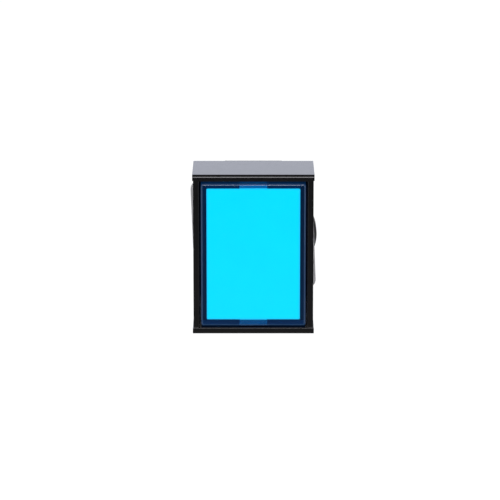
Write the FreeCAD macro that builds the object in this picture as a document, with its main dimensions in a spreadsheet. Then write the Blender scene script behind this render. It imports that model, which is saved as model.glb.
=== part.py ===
"""Rectangular illuminated push button switch for a round panel hole.

Every piece is modelled with the button axis along Z: heights above the panel are positive
towards the lens, negative towards the terminals, and Y is up as the switch is mounted.
The placement of each piece then stands the button upright, with the lens facing -Y.
"""
import FreeCAD, Part
import math
import os

import Sketcher

doc = FreeCAD.newDocument("IlluminatedPushButton")
sheet = doc.addObject("Spreadsheet::Sheet", "Dims")

# Driving dimensions in millimetres, angles in degrees
DIMENSIONS = {
    # bezel and threaded barrel
    "bezel_width": 18.1,
    "bezel_height": 24.3,
    "bezel_depth": 10.4,
    "rail": 1.0,
    "side_inset": 0.12,
    "rail_setback": 0.2,
    "lip_round": 0.45,
    "opening_round": 0.12,
    "corner_round": 0.2,
    "floor_thickness": 1.6,
    "barrel_radius": 7.9,
    "barrel_length": 14.0,
    "collar_length": 1.0,
    "thread_root": 7.45,
    "thread_pitch": 1.0,
    "thread_length": 9.25,
    "thread_start": 1.15,
    "thread_root_width": 0.86,
    "thread_crest_width": 0.28,
    "thread_sink": 0.05,
    "bore_radius": 6.5,
    "throat_depth": 3.0,
    "keyway_width": 2.1,
    "keyway_depth": 0.7,
    # panel fixings
    "gasket_thickness": 0.8,
    "gasket_inset": 0.5,
    "gasket_corner": 1.5,
    "panel_gap": 2.2,
    "washer_width": 18.6,
    "washer_height": 17.3,
    "washer_thickness": 0.6,
    "washer_corner": 1.2,
    "washer_turn": 2.2,
    "washer_tab_width": 1.4,
    "washer_tab_depth": 0.5,
    "washer_tab_root": 0.35,
    "nut_thickness": 3.0,
    "nut_radius": 8.95,
    "nut_lobe_radius": 6.2,
    "nut_lobe_reach": 9.72,
    "nut_lobe_drop": 0.1,
    "nut_lobes": 5,
    "nut_edge_round": 0.25,
    # lens, plates and plunger
    "lens_side_gap": 0.25,
    "lens_end_gap": 0.3,
    "lens_proud": 0.1,
    "lens_face": 0.9,
    "lens_wall": 0.8,
    "lens_bevel": 0.3,
    "lens_corner": 0.35,
    "notch_width": 4.2,
    "plate_thickness": 0.8,
    "diffuser_thickness": 0.6,
    "head_wall": 0.9,
    "hook_length": 1.2,
    "flange_thickness": 1.0,
    "stem_radius": 5.5,
    "light_radius": 3.6,
    "barb_length": 1.5,
    "barb_reach": 0.7,
    "barb_width": 3.0,
    "slider_socket": 0.8,
    "travel": 2.5,
    "end_room": 0.4,
    # clearances
    "fit_clearance": 0.05,
    "running_clearance": 0.08,
    "loose_clearance": 0.15,
    "rest_gap": 0.05,
    # return spring
    "return_wire_radius": 0.25,
    "return_coil_radius": 4.95,
    "return_turns": 4.5,
    # switch case and terminal base
    "case_radius": 7.7,
    "case_flat": 12.4,
    "case_wall": 0.8,
    "case_length": 12.0,
    "spigot_length": 4.0,
    "lug_width": 2.4,
    "lug_length": 1.2,
    "lug_reach": 0.7,
    "lug_setback": 1.0,
    "base_thickness": 2.0,
    "plug_depth": 0.5,
    "barrier_depth": 2.4,
    "barrier_thickness": 0.8,
    "barrier_height": 9.6,
    "barrier_offset": 2.9,
    "post_radius": 3.2,
    "post_length": 10.5,
    # contact slider
    "slider_wall": 0.8,
    "carrier_play": 0.8,
    "carrier_thickness": 1.0,
    "carrier_reach": 6.1,
    "carrier_width": 2.0,
    "guide_radius": 0.6,
    "guide_head_radius": 0.95,
    "guide_head_length": 0.6,
    "guide_tail": 2.5,
    # contacts
    "contact_offset": 5.0,
    "bar_length": 5.2,
    "bar_width": 1.4,
    "bar_thickness": 0.5,
    "tip_spacing": 3.9,
    "tip_radius": 0.5,
    "tip_thickness": 0.3,
    "contact_gap": 1.3,
    "lost_motion": 0.3,
    "open_spring_length": 2.5,
    "finger_setback": 0.5,
    "contact_wire_radius": 0.18,
    "contact_coil_radius": 0.95,
    "open_spring_turns": 3,
    "closed_spring_turns": 7,
    # terminals
    "strip_thickness": 0.5,
    "strip_width": 1.6,
    "closed_leg_offset": 3.0,
    "terminal_length": 6.0,
    "eyelet_radius": 0.45,
    "eyelet_setback": 1.5,
    # lamp
    "lamp_base_radius": 2.9,
    "lamp_base_length": 5.0,
    "led_radius": 2.5,
    "led_length": 10.5,
    "led_rim_height": 1.0,
    "led_tip_flat": 0.05,
    "led_pin_radius": 0.25,
    "led_pin_spacing": 2.54,
    "led_pin_length": 3.5,
    "lamp_strip_width": 2.0,
}
for row, (alias, value) in enumerate(DIMENSIONS.items(), start=1):
    sheet.set(f"A{row}", alias)
    sheet.set(f"B{row}", str(value))
    sheet.setAlias(f"B{row}", alias)
doc.recompute()

# Levels along the button axis, from the lens at the front to the terminals at the rear
BEZEL_BACK = "Dims.gasket_thickness"
LIP = f"({BEZEL_BACK} + Dims.bezel_depth)"
FLOOR = f"({BEZEL_BACK} + Dims.floor_thickness)"
THROAT_END = "(-Dims.throat_depth)"
COLLAR_END = "(-Dims.collar_length)"
BARREL_END = "(-Dims.barrel_length)"
WASHER_BACK = "(-Dims.panel_gap - Dims.washer_thickness)"
NUT_BACK = f"({WASHER_BACK} - Dims.rest_gap - Dims.nut_thickness)"
LENS_FRONT = f"({LIP} + Dims.lens_proud)"
LENS_INSIDE = f"({LENS_FRONT} - Dims.lens_face)"
PLATE_FRONT = f"({LENS_INSIDE} - Dims.fit_clearance)"
PLATE_BACK = f"({PLATE_FRONT} - Dims.plate_thickness)"
HEAD_FRONT = f"({PLATE_BACK} - Dims.diffuser_thickness)"
FLANGE_BACK = f"({FLOOR} + Dims.travel + Dims.end_room)"
FLANGE_FRONT = f"({FLANGE_BACK} + Dims.flange_thickness)"
STEM_END = f"({THROAT_END} - Dims.rest_gap - Dims.barb_length)"
SLIDER_FRONT = f"({STEM_END} + Dims.slider_socket)"
SPIGOT_FRONT = f"({BARREL_END} + Dims.spigot_length)"
CASE_END = f"({BARREL_END} - Dims.case_length)"
BASE_FRONT = f"({CASE_END} + Dims.plug_depth)"
BASE_BACK = f"({CASE_END} - Dims.base_thickness)"
TERMINAL_END = f"({BASE_BACK} - Dims.terminal_length)"
POST_FRONT = f"({BASE_FRONT} + Dims.post_length)"
LAMP_FRONT = f"({POST_FRONT} + Dims.lamp_base_length)"
CARRIER_FRONT = f"({BARREL_END} - Dims.case_wall - Dims.carrier_play)"
CARRIER_BACK = f"({CARRIER_FRONT} - Dims.carrier_thickness)"

# Normally open contacts wait behind their bar, normally closed ones stand in front of theirs
OPEN_BAR_FRONT = f"({CARRIER_BACK} - Dims.open_spring_length)"
OPEN_BAR_BACK = f"({OPEN_BAR_FRONT} - Dims.bar_thickness)"
OPEN_FINGER_FRONT = f"({OPEN_BAR_BACK} - 2 * Dims.tip_thickness - Dims.contact_gap)"
CLOSED_FINGER_FRONT = f"({CARRIER_BACK} - Dims.finger_setback)"
CLOSED_FINGER_BACK = f"({CLOSED_FINGER_FRONT} - Dims.strip_thickness)"
CLOSED_BAR_FRONT = f"({CLOSED_FINGER_BACK} - 2 * Dims.tip_thickness - Dims.rest_gap)"
CLOSED_BAR_BACK = f"({CLOSED_BAR_FRONT} - Dims.bar_thickness)"

# Widths and radii shared by pieces that fit each other
OPENING_WIDTH = "(Dims.bezel_width - 2 * Dims.rail)"
OPENING_HEIGHT = "(Dims.bezel_height - 2 * Dims.rail)"
LENS_WIDTH = f"({OPENING_WIDTH} - 2 * Dims.lens_side_gap)"
LENS_HEIGHT = f"({OPENING_HEIGHT} - 2 * Dims.lens_end_gap)"
LENS_INNER_WIDTH = f"({LENS_WIDTH} - 2 * Dims.lens_wall)"
LENS_INNER_HEIGHT = f"({LENS_HEIGHT} - 2 * Dims.lens_wall)"
INSERT_WIDTH = f"({LENS_INNER_WIDTH} - 2 * Dims.fit_clearance)"
INSERT_HEIGHT = f"({LENS_INNER_HEIGHT} - 2 * Dims.fit_clearance)"
TAB_WIDTH = "(Dims.notch_width - 2 * Dims.fit_clearance)"
TAB_HEIGHT = f"({LENS_HEIGHT} - 2 * Dims.fit_clearance)"
THROAT_RADIUS = "(Dims.stem_radius + Dims.running_clearance)"
SLIDER_INNER = "(Dims.post_radius + 2 * Dims.loose_clearance)"
SLIDER_RADIUS = f"({SLIDER_INNER} + Dims.slider_wall)"
SOCKET_RADIUS = f"({SLIDER_RADIUS} + Dims.fit_clearance)"
SPIGOT_RADIUS = "(Dims.bore_radius - Dims.fit_clearance)"
CASE_INNER = "(Dims.case_radius - Dims.case_wall)"
CASE_INNER_FLAT = "(Dims.case_flat - 2 * Dims.case_wall)"
PIN_HOLE_RADIUS = "(Dims.guide_radius + Dims.running_clearance)"
LAMP_STRIP_INNER = "(Dims.led_pin_spacing / 2 + Dims.led_pin_radius)"

UPRIGHT = FreeCAD.Placement(FreeCAD.Vector(), FreeCAD.Rotation(FreeCAD.Vector(1, 0, 0), 90))
AXIS = FreeCAD.Vector(0, 0, 1)
subparts = {}


def number(expression):
    """The value that an expression on the sheet has now."""
    return float(sheet.evalExpression(expression))


def keep(piece, label, placement=UPRIGHT):
    """Name a finished piece and stand it in its place."""
    piece.Label = label
    piece.Placement = placement
    subparts[label] = piece
    return piece


# Sketch and feature helpers for bodies
def new_body(name):
    return doc.addObject("PartDesign::Body", f"{name}_body")


def origin_plane(body, role):
    return next(item for item in body.Origin.OriginFeatures if item.Role == role)


def new_sketch(body, level="0", role="XY_Plane"):
    """A sketch of the body, square to the button axis at a level, or upright through the axis."""
    sketch = body.newObject("Sketcher::SketchObject", f"{body.Name}_sketch")
    sketch.AttachmentSupport = [(origin_plane(body, role), "")]
    sketch.MapMode = "FlatFace"
    sketch.setExpression("AttachmentOffset.Base.z", level)
    return sketch


def dimension(sketch, kind, first, second, expression):
    """A horizontal or vertical distance between two sketch points, bound to the sheet."""
    index = sketch.addConstraint(Sketcher.Constraint(kind, *first, *second, number(expression)))
    name = f"size_{index}"
    sketch.renameConstraint(index, name)
    sketch.setExpression(f"Constraints.{name}", expression)


def polygon(sketch, points):
    """A closed outline of straight edges whose corners are bound to the sheet."""
    corners = [FreeCAD.Vector(number(x), number(y), 0) for x, y in points]
    first = sketch.GeometryCount
    count = len(corners)
    for i, corner in enumerate(corners):
        sketch.addGeometry(Part.LineSegment(corner, corners[(i + 1) % count]))
    for i in range(count):
        following = first + (i + 1) % count
        sketch.addConstraint(Sketcher.Constraint("Coincident", first + i, 2, following, 1))
    for i, (x, y) in enumerate(points):
        dimension(sketch, "DistanceX", (-1, 1), (first + i, 1), x)
        dimension(sketch, "DistanceY", (-1, 1), (first + i, 1), y)
    return sketch


def rectangle(sketch, width, height, x="0", y="0"):
    """A rectangle centred on a point of the sketch."""
    low_x, high_x = f"{x} - ({width}) / 2", f"{x} + ({width}) / 2"
    low_y, high_y = f"{y} - ({height}) / 2", f"{y} + ({height}) / 2"
    return polygon(sketch, [(low_x, low_y), (high_x, low_y), (high_x, high_y), (low_x, high_y)])


def circle(sketch, radius, x="0", y="0"):
    """A circle with its centre and radius bound to the sheet."""
    centre = FreeCAD.Vector(number(x), number(y), 0)
    index = sketch.addGeometry(Part.Circle(centre, AXIS, number(radius)))
    dimension(sketch, "DistanceX", (-1, 1), (index, 3), x)
    dimension(sketch, "DistanceY", (-1, 1), (index, 3), y)
    constraint = sketch.addConstraint(Sketcher.Constraint("Radius", index, number(radius)))
    name = f"radius_{constraint}"
    sketch.renameConstraint(constraint, name)
    sketch.setExpression(f"Constraints.{name}", radius)
    return sketch


def pad(body, sketch, length):
    """Raise a sketch towards the lens."""
    feature = body.newObject("PartDesign::Pad", f"{body.Name}_pad")
    feature.Profile = sketch
    feature.setExpression("Length", length)
    return feature


def pocket(body, sketch, length):
    """Cut a sketch towards the lens."""
    feature = body.newObject("PartDesign::Pocket", f"{body.Name}_pocket")
    feature.Profile = sketch
    feature.Reversed = True
    feature.setExpression("Length", length)
    return feature


def span_pad(body, outline, low, high, *sizes):
    """Material between two levels, with the outline that a sketch function draws."""
    return pad(body, outline(new_sketch(body, low), *sizes), f"{high} - {low}")


def span_pocket(body, outline, low, high, *sizes):
    """A cut between two levels, with the outline that a sketch function draws."""
    return pocket(body, outline(new_sketch(body, low), *sizes), f"{high} - {low}")


def turned(body, outline):
    """A solid of revolution about the button axis from corners of radius and level."""
    sketch = polygon(new_sketch(body, role="XZ_Plane"), outline)
    feature = body.newObject("PartDesign::Revolution", f"{body.Name}_turned")
    feature.Profile = sketch
    feature.ReferenceAxis = (sketch, ["V_Axis"])
    feature.Angle = 360
    return feature


def wound(body, outline, pitch, length):
    """A right-handed ridge about the button axis from corners of radius and level."""
    sketch = polygon(new_sketch(body, role="XZ_Plane"), outline)
    feature = body.newObject("PartDesign::AdditiveHelix", f"{body.Name}_ridge")
    feature.Profile = sketch
    feature.ReferenceAxis = (sketch, ["V_Axis"])
    feature.Mode = "pitch-height-angle"
    feature.setExpression("Pitch", pitch)
    feature.setExpression("Height", length)
    return feature


def edges_where(feature, test):
    """Names of the feature's edges whose middle passes a test."""
    doc.recompute()
    names = []
    for i, edge in enumerate(feature.Shape.Edges, start=1):
        middle = edge.valueAt((edge.FirstParameter + edge.LastParameter) / 2)
        if test(edge, middle):
            names.append(f"Edge{i}")
    return names


def is_upright(edge, middle):
    """An edge along the button axis."""
    return edge.Curve.TypeId == "Part::GeomLine" and abs(edge.tangentAt(edge.FirstParameter).z) > 0.99


def ease(body, feature, kind, size, test):
    """Round or bevel the edges that pass a test."""
    names = edges_where(feature, test)
    eased = body.newObject(f"PartDesign::{kind}", f"{body.Name}_{kind.lower()}")
    eased.Base = (feature, names)
    eased.setExpression("Radius" if kind == "Fillet" else "Size", size)
    return eased


# Stamped, drawn and joined pieces
def bind_base(piece, x, y, z):
    for axis, expression in zip("xyz", (x, y, z)):
        piece.setExpression(f"Placement.Base.{axis}", expression)


def block(width, height, depth, x, y, z):
    """A box with its low corner at a point."""
    piece = doc.addObject("Part::Box", "block")
    for name, expression in zip(("Length", "Width", "Height"), (width, height, depth)):
        piece.setExpression(name, expression)
    bind_base(piece, x, y, z)
    return piece


def rod(radius, length, x, y, z):
    """A cylinder along the button axis from a point towards the lens."""
    piece = doc.addObject("Part::Cylinder", "rod")
    piece.setExpression("Radius", radius)
    piece.setExpression("Height", length)
    bind_base(piece, x, y, z)
    return piece


def join(pieces):
    piece = doc.addObject("Part::MultiFuse", "joined")
    piece.Shapes = pieces
    piece.Refine = True
    return piece


def group(pieces):
    """Separate solids that share one node."""
    piece = doc.addObject("Part::Compound", "group")
    piece.Links = pieces
    return piece


def drilled(base, tool):
    piece = doc.addObject("Part::Cut", "drilled")
    piece.Base = base
    piece.Tool = tool
    return piece


def coil(coil_radius, wire_radius, turns, low, high, x="0"):
    """A helical spring between two seats."""
    helix = doc.addObject("Part::Helix", "coil_line")
    helix.LocalCoord = 0
    height = f"({high} - {low} - 2 * {wire_radius} - 2 * Dims.rest_gap)"
    helix.setExpression("Radius", coil_radius)
    helix.setExpression("Height", height)
    helix.setExpression("Pitch", f"{height} / {turns}")
    bind_base(helix, x, "0", f"{low} + {wire_radius} + Dims.rest_gap")
    section = doc.addObject("Part::Circle", "coil_wire")
    section.setExpression("Radius", wire_radius)
    section.Placement.Rotation = FreeCAD.Rotation(FreeCAD.Vector(1, 0, 0), 90)
    bind_base(section, f"{x} + {coil_radius}", "0", f"{low} + {wire_radius} + Dims.rest_gap")
    doc.recompute()
    spring = doc.addObject("Part::Sweep", "spring")
    spring.Sections = [section]
    spring.Spine = (helix, [f"Edge{i + 1}" for i in range(len(helix.Shape.Edges))])
    spring.Solid = True
    spring.Frenet = True
    return spring


# Front of the switch
def make_bezel_housing():
    """The box-shaped bezel and, behind it, the collar and the threaded barrel."""
    body = new_body("bezel_housing")
    shell = span_pad(body, rectangle, BEZEL_BACK, LIP, "Dims.bezel_width", "Dims.bezel_height")
    lip = number(LIP)
    end = number("Dims.bezel_height / 2")
    ease(body, shell, "Fillet", "Dims.lip_round",
         lambda edge, at: math.isclose(at.z, lip, abs_tol=1e-6)
         and math.isclose(abs(at.y), end, abs_tol=1e-6))
    inset_height = f"({OPENING_HEIGHT} + 2 * Dims.side_inset)"
    for side in ("-", ""):
        flank = f"{side}Dims.bezel_width / 2"
        span_pocket(body, rectangle, BEZEL_BACK, LIP, "2 * Dims.side_inset", inset_height, flank)
    span_pocket(body, rectangle, FLOOR, LIP, OPENING_WIDTH, OPENING_HEIGHT)
    rail_front = f"({LIP} - Dims.rail_setback)"
    opening = span_pocket(body, rectangle, rail_front, LIP, "2 * Dims.bezel_width", OPENING_HEIGHT)
    rail = number(rail_front)
    inner = (number(f"{OPENING_WIDTH} / 2"), number(f"{OPENING_HEIGHT} / 2"))
    ease(body, opening, "Fillet", "Dims.opening_round",
         lambda edge, at: math.isclose(at.z, rail, abs_tol=1e-6)
         and math.isclose(abs(at.x), inner[0], abs_tol=1e-6) and abs(at.y) < inner[1]
         or math.isclose(at.z, lip, abs_tol=1e-6)
         and math.isclose(abs(at.y), inner[1], abs_tol=1e-6) and abs(at.x) < inner[0])
    span_pad(body, circle, COLLAR_END, BEZEL_BACK, "Dims.barrel_radius")
    span_pad(body, circle, BARREL_END, COLLAR_END, "Dims.thread_root")
    low = "(-Dims.thread_start - Dims.thread_length)"
    sunk = "(Dims.thread_root - Dims.thread_sink)"
    crest = "(Dims.barrel_radius - Dims.fit_clearance)"
    ridge = [(sunk, f"{low} - Dims.thread_root_width / 2"),
             (crest, f"{low} - Dims.thread_crest_width / 2"),
             (crest, f"{low} + Dims.thread_crest_width / 2"),
             (sunk, f"{low} + Dims.thread_root_width / 2")]
    wound(body, ridge, "Dims.thread_pitch", "Dims.thread_length")
    span_pocket(body, circle, BARREL_END, FLOOR, THROAT_RADIUS)
    span_pocket(body, circle, BARREL_END, THROAT_END, "Dims.bore_radius")
    keyway_y = "-Dims.barrel_radius"
    span_pocket(body, rectangle, BARREL_END, BEZEL_BACK,
                "Dims.keyway_width", "2 * Dims.keyway_depth", "0", keyway_y)
    window_low = f"({SPIGOT_FRONT} - Dims.lug_setback - Dims.lug_length - Dims.fit_clearance)"
    window_high = f"({SPIGOT_FRONT} - Dims.lug_setback + Dims.fit_clearance)"
    span_pocket(body, rectangle, window_low, window_high,
                "3 * Dims.barrel_radius", "Dims.lug_width + 2 * Dims.fit_clearance")
    return keep(body, "bezel_housing")


def make_lens_cap():
    """The clear blue cap: a shallow box with a notch through the middle of each short wall."""
    body = new_body("lens_cap")
    solid = span_pad(body, rectangle, FLANGE_FRONT, LENS_FRONT, LENS_WIDTH, LENS_HEIGHT)
    front = number(LENS_FRONT)
    solid = ease(body, solid, "Fillet", "Dims.lens_corner", is_upright)
    ease(body, solid, "Fillet", "Dims.lens_bevel",
         lambda edge, at: math.isclose(at.z, front, abs_tol=1e-6))
    span_pocket(body, rectangle, FLANGE_FRONT, LENS_INSIDE, LENS_INNER_WIDTH, LENS_INNER_HEIGHT)
    span_pocket(body, rectangle, FLANGE_FRONT, LENS_INSIDE, "Dims.notch_width", f"2 * {LENS_HEIGHT}")
    return keep(body, "lens_cap")


def make_marking_plate():
    """The lit plate under the lens, with a tab in each notch."""
    body = new_body("marking_plate")
    solid = span_pad(body, rectangle, PLATE_BACK, PLATE_FRONT, INSERT_WIDTH, INSERT_HEIGHT)
    ease(body, solid, "Fillet", "Dims.corner_round", is_upright)
    span_pad(body, rectangle, PLATE_BACK, PLATE_FRONT, TAB_WIDTH, TAB_HEIGHT)
    return keep(body, "marking_plate")


def make_light_diffuser():
    """A milky sheet between the light box and the marking plate."""
    body = new_body("light_diffuser")
    solid = span_pad(body, rectangle, HEAD_FRONT, PLATE_BACK, INSERT_WIDTH, INSERT_HEIGHT)
    ease(body, solid, "Fillet", "Dims.corner_round", is_upright)
    return keep(body, "light_diffuser")


def make_plunger():
    """The button carrier: light box, flange under the lens skirt and hollow guided stem."""
    body = new_body("plunger")
    span_pad(body, rectangle, FLANGE_BACK, FLANGE_FRONT, LENS_WIDTH, LENS_HEIGHT)
    span_pad(body, rectangle, FLANGE_FRONT, HEAD_FRONT, INSERT_WIDTH, INSERT_HEIGHT)
    hook_top = f"({FLANGE_FRONT} + Dims.hook_length)"
    span_pad(body, rectangle, FLANGE_FRONT, hook_top, TAB_WIDTH, TAB_HEIGHT)
    span_pocket(body, rectangle, FLANGE_FRONT, HEAD_FRONT,
                f"{INSERT_WIDTH} - 2 * Dims.head_wall", f"{INSERT_HEIGHT} - 2 * Dims.head_wall")
    span_pad(body, circle, STEM_END, FLANGE_BACK, "Dims.stem_radius")
    barb_span = "2 * (Dims.stem_radius + Dims.barb_reach)"
    barb_top = f"({STEM_END} + Dims.barb_length)"
    span_pad(body, rectangle, STEM_END, barb_top, barb_span, "Dims.barb_width")
    span_pocket(body, circle, STEM_END, FLANGE_FRONT, "Dims.light_radius")
    span_pocket(body, circle, STEM_END, SLIDER_FRONT, SOCKET_RADIUS)
    return keep(body, "plunger")


def make_return_spring():
    """The coil that lifts the plunger off the switch case."""
    return keep(coil("Dims.return_coil_radius", "Dims.return_wire_radius", "Dims.return_turns",
                     SPIGOT_FRONT, STEM_END), "return_spring")


# Panel fixings
def make_panel_gasket():
    """The flat rubber seal between bezel and panel."""
    body = new_body("panel_gasket")
    solid = span_pad(body, rectangle, "0", BEZEL_BACK,
                     "Dims.bezel_width - 2 * (Dims.side_inset + Dims.gasket_inset)",
                     "Dims.bezel_height - 2 * Dims.gasket_inset")
    ease(body, solid, "Fillet", "Dims.gasket_corner", is_upright)
    span_pocket(body, circle, "0", BEZEL_BACK, "Dims.barrel_radius + Dims.fit_clearance")
    return keep(body, "panel_gasket")


def make_lock_washer():
    """The flat steel washer whose tab runs in the barrel keyway, with the turn its play allows."""
    body = new_body("lock_washer")
    front = "(-Dims.panel_gap)"
    hole = "(Dims.barrel_radius + Dims.running_clearance)"
    solid = span_pad(body, rectangle, WASHER_BACK, front, "Dims.washer_width", "Dims.washer_height")
    ease(body, solid, "Fillet", "Dims.washer_corner", is_upright)
    span_pocket(body, circle, WASHER_BACK, front, hole)
    tab_height = "(Dims.washer_tab_depth + Dims.washer_tab_root)"
    tab_y = "(-Dims.barrel_radius + (Dims.washer_tab_depth - Dims.washer_tab_root) / 2)"
    span_pad(body, rectangle, WASHER_BACK, front, "Dims.washer_tab_width", tab_height, "0", tab_y)
    turn = FreeCAD.Rotation(AXIS, number("Dims.washer_turn"))
    return keep(body, "lock_washer", UPRIGHT * FreeCAD.Placement(FreeCAD.Vector(), turn))


def make_mounting_nut():
    """The lobed ring nut on the barrel thread."""
    body = new_body("mounting_nut")
    front = f"({WASHER_BACK} - Dims.rest_gap)"
    span_pad(body, circle, NUT_BACK, front, "Dims.nut_radius")
    lobe_x = "(Dims.nut_lobe_reach - Dims.nut_lobe_radius)"
    lobe_y = "(-Dims.nut_lobe_drop)"
    lobe = span_pad(body, circle, NUT_BACK, front, "Dims.nut_lobe_radius", lobe_x, lobe_y)
    doc.recompute()
    pattern = body.newObject("PartDesign::PolarPattern", "nut_lobes")
    pattern.Originals = [lobe]
    pattern.Axis = (lobe.Profile[0], ["N_Axis"])
    pattern.Angle = 360
    pattern.setExpression("Occurrences", "Dims.nut_lobes")
    body.Tip = pattern
    ends = (number(front), number(NUT_BACK))
    ease(body, pattern, "Fillet", "Dims.nut_edge_round",
         lambda edge, at: any(math.isclose(at.z, end, abs_tol=1e-6) for end in ends))
    doc.recompute()
    span_pocket(body, circle, NUT_BACK, front, "Dims.barrel_radius + Dims.running_clearance")
    return keep(body, "mounting_nut")


# Rear of the switch
def make_switch_case():
    """The case behind the barrel, with a spigot and two snap lugs in the barrel windows."""
    body = new_body("switch_case")
    span_pad(body, circle, CASE_END, BARREL_END, "Dims.case_radius")
    flat_y = "(Dims.case_flat / 2 + Dims.case_radius / 2)"
    for side in ("-", ""):
        span_pocket(body, rectangle, CASE_END, BARREL_END,
                    "2 * Dims.case_radius", "Dims.case_radius", "0", f"{side}{flat_y}")
    span_pad(body, circle, BARREL_END, SPIGOT_FRONT, SPIGOT_RADIUS)
    lug_low = f"({SPIGOT_FRONT} - Dims.lug_setback - Dims.lug_length)"
    lug_high = f"({SPIGOT_FRONT} - Dims.lug_setback)"
    span_pad(body, rectangle, lug_low, lug_high,
             f"2 * ({SPIGOT_RADIUS} + Dims.lug_reach)", "Dims.lug_width")
    span_pocket(body, circle, CASE_END, SPIGOT_FRONT, f"{SLIDER_RADIUS} + Dims.loose_clearance")
    span_pocket(body, circle, CASE_END, f"({SPIGOT_FRONT} - Dims.case_wall)",
                f"{SPIGOT_RADIUS} - Dims.case_wall")
    chamber_top = f"({BARREL_END} - Dims.case_wall)"
    span_pocket(body, case_outline, CASE_END, chamber_top, CASE_INNER, CASE_INNER_FLAT)
    return keep(body, "switch_case")


def case_outline(sketch, radius, flat):
    """A circle with two flats, its arcs left and right and its flats above and below."""
    reach, half = number(radius), number(f"({flat}) / 2")
    angle = math.asin(half / reach)
    origin = FreeCAD.Vector()
    full = Part.Circle(origin, AXIS, reach)
    right = sketch.addGeometry(Part.ArcOfCircle(full, -angle, angle))
    left = sketch.addGeometry(Part.ArcOfCircle(full, math.pi - angle, math.pi + angle))
    flat_x = reach * math.cos(angle)
    corner = FreeCAD.Vector
    top = sketch.addGeometry(Part.LineSegment(corner(flat_x, half, 0), corner(-flat_x, half, 0)))
    bottom = sketch.addGeometry(Part.LineSegment(corner(-flat_x, -half, 0), corner(flat_x, -half, 0)))
    for first, second in (((right, 2), (top, 1)), ((top, 2), (left, 1)),
                          ((left, 2), (bottom, 1)), ((bottom, 2), (right, 1))):
        sketch.addConstraint(Sketcher.Constraint("Coincident", *first, *second))
    for arc in (right, left):
        sketch.addConstraint(Sketcher.Constraint("Coincident", arc, 3, -1, 1))
    sketch.addConstraint(Sketcher.Constraint("Horizontal", top))
    sketch.addConstraint(Sketcher.Constraint("Horizontal", bottom))
    dimension(sketch, "DistanceY", (-1, 1), (top, 1), f"({flat}) / 2")
    dimension(sketch, "DistanceY", (bottom, 1), (-1, 1), f"({flat}) / 2")
    index = sketch.addConstraint(Sketcher.Constraint("Radius", right, reach))
    sketch.renameConstraint(index, "reach")
    sketch.setExpression("Constraints.reach", radius)
    sketch.addConstraint(Sketcher.Constraint("Equal", right, left))
    return sketch


def make_terminal_base():
    """The rear cover with its lamp post and a slot for each terminal."""
    body = new_body("terminal_base")
    span_pad(body, case_outline, BASE_BACK, CASE_END, "Dims.case_radius", "Dims.case_flat")
    span_pad(body, case_outline, CASE_END, BASE_FRONT,
             f"{CASE_INNER} - Dims.fit_clearance", f"{CASE_INNER_FLAT} - 2 * Dims.fit_clearance")
    span_pad(body, circle, BASE_FRONT, POST_FRONT, "Dims.post_radius")
    barrier_back = f"({BASE_BACK} - Dims.barrier_depth)"
    for side in ("-", ""):
        span_pad(body, rectangle, barrier_back, BASE_BACK, "Dims.barrier_thickness",
                 "Dims.barrier_height", f"{side}Dims.barrier_offset")
    room = "2 * Dims.fit_clearance"
    lamp_y = f"({LAMP_STRIP_INNER} - Dims.led_pin_radius + Dims.strip_thickness / 2)"
    for side in ("-", ""):
        span_pocket(body, rectangle, BASE_BACK, POST_FRONT, f"Dims.lamp_strip_width + {room}",
                    f"Dims.strip_thickness + 2 * Dims.led_pin_radius + {room}", "0", f"{side}{lamp_y}")
        span_pocket(body, rectangle, BASE_BACK, BASE_FRONT, f"Dims.strip_thickness + {room}",
                    f"Dims.strip_width + {room}", "Dims.contact_offset", f"{side}Dims.tip_spacing / 2")
        leg_y = f"{side}(Dims.closed_leg_offset + Dims.strip_thickness / 2)"
        span_pocket(body, rectangle, BASE_BACK, BASE_FRONT, f"Dims.strip_width + {room}",
                    f"Dims.strip_thickness + {room}", "-Dims.contact_offset", leg_y)
    return keep(body, "terminal_base")


def make_contact_slider():
    """The sliding tube that follows the plunger, with an arm and guide pin for each contact bar."""
    offset = "Dims.contact_offset"
    tube_length = f"{SLIDER_FRONT} - {CARRIER_BACK}"
    arm_corner = ("-Dims.carrier_reach", "-Dims.carrier_width / 2", CARRIER_BACK)
    head_low = f"({OPEN_BAR_BACK} - Dims.rest_gap - Dims.guide_head_length)"
    boss_low = f"({CLOSED_BAR_FRONT} + Dims.lost_motion)"
    guide_low = f"({CLOSED_BAR_BACK} - Dims.guide_tail)"
    solid = join([
        rod(SLIDER_RADIUS, tube_length, "0", "0", CARRIER_BACK),
        block("2 * Dims.carrier_reach", "Dims.carrier_width", "Dims.carrier_thickness", *arm_corner),
        rod("Dims.guide_radius", f"{CARRIER_BACK} - {head_low}", offset, "0", head_low),
        rod("Dims.guide_head_radius", "Dims.guide_head_length", offset, "0", head_low),
        rod("Dims.guide_head_radius", f"{CARRIER_BACK} - {boss_low}", f"-{offset}", "0", boss_low),
        rod("Dims.guide_radius", f"{CARRIER_BACK} - {guide_low}", f"-{offset}", "0", guide_low),
    ])
    bore = rod(SLIDER_INNER, tube_length, "0", "0", CARRIER_BACK)
    return keep(drilled(solid, bore), "contact_slider")


def make_bridge(label, x, level):
    """A contact bar that slides on its guide pin."""
    corner = (f"{x} - Dims.bar_width / 2", "-Dims.bar_length / 2", level)
    bar = block("Dims.bar_width", "Dims.bar_length", "Dims.bar_thickness", *corner)
    hole = rod(PIN_HOLE_RADIUS, "Dims.bar_thickness", x, "0", level)
    return keep(drilled(bar, hole), label)


def make_tips(label, x, level):
    """A pair of silver contact tips."""
    places = ("-Dims.tip_spacing / 2", "Dims.tip_spacing / 2")
    tips = [rod("Dims.tip_radius", "Dims.tip_thickness", x, y, level) for y in places]
    return keep(group(tips), label)


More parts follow.
